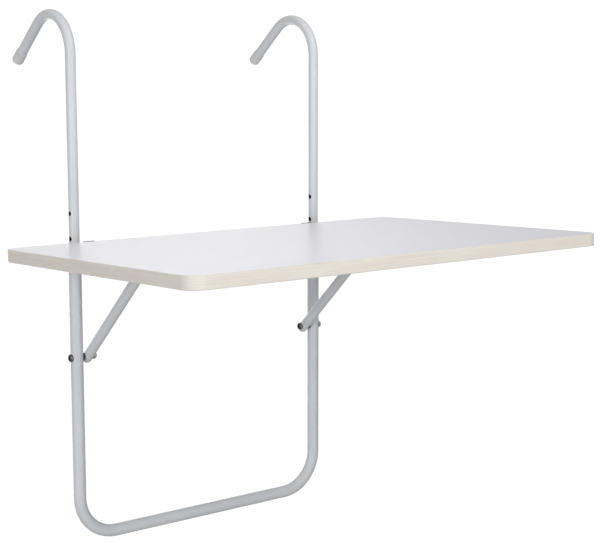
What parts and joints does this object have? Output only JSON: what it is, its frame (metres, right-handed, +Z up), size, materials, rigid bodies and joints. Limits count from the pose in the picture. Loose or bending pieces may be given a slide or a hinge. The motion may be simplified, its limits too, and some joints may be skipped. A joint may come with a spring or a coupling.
{
  "type": "folding balcony table",
  "caption": "Hanging balcony table: hooked steel tube frame, a rectangular white board with a pale wood edge that folds down, and slanted tube stays that hold it level.",
  "frame": {"origin": "on the rail seat: under the crowns of the two hooks, midway between them", "axes": "+X along the rail to the right, -Y towards the person at the table, +Z up"},
  "size_m": [0.6, 0.5658, 0.674],
  "materials": {
    "powder_coat": "light grey satin powder coat",
    "white_laminate": "smooth white melamine",
    "board_core": "bare particle board",
    "edge_band": "pale satin wood",
    "bracket_steel": "dark grey coat",
    "black_steel": "black oxide",
    "zinc_steel": "zinc plated",
    "spacer_nylon": "black nylon",
    "cap_plastic": "translucent soft plastic",
    "rest_rubber": "matt black"
  },
  "bodies": {
    "frame": {"u_frame": "powder_coat", "hook_tube_left": "powder_coat", "hook_tube_right": "powder_coat", "hook_cap_left": "cap_plastic", "hook_cap_right": "cap_plastic", "hinge_bolt_left": "black_steel", "hinge_nut_left": "zinc_steel", "hinge_spacer_left": "spacer_nylon", "hinge_bolt_right": "black_steel", "hinge_nut_right": "zinc_steel", "hinge_spacer_right": "spacer_nylon", "pivot_bolt_left": "black_steel", "pivot_nut_left": "zinc_steel", "pivot_spacer_left": "spacer_nylon", "pivot_bolt_right": "black_steel", "pivot_nut_right": "zinc_steel", "pivot_spacer_right": "spacer_nylon"},
    "tabletop": {"board_core": "board_core", "top_laminate": "white_laminate", "bottom_laminate": "white_laminate", "edge_band": "edge_band", "hinge_bracket_left": "bracket_steel", "hinge_bracket_right": "bracket_steel", "bracket_screws": "zinc_steel", "rod_rest_left": "rest_rubber", "rod_rest_right": "rest_rubber", "rod_rest_screws": "zinc_steel"},
    "stays": {"stay_tube_left": "powder_coat", "stay_tube_right": "powder_coat", "cross_rod": "zinc_steel"}
  },
  "joints": [
    {"name": "top_fold", "type": "hinge", "parent": "frame", "child": "tabletop", "pos_m": [0, -0.05, -0.3005], "axis": [1, 0, 0], "range_deg": [0, 91.8]},
    {"name": "stay_fold", "type": "hinge", "parent": "frame", "child": "stays", "pos_m": [0, -0.05, -0.419], "axis": [1, 0, 0], "range_deg": [0, 134]}
  ],
  "couplings": [
    {"joint": "stay_fold", "follows": "top_fold", "ratio": 1.4503}
  ]
}
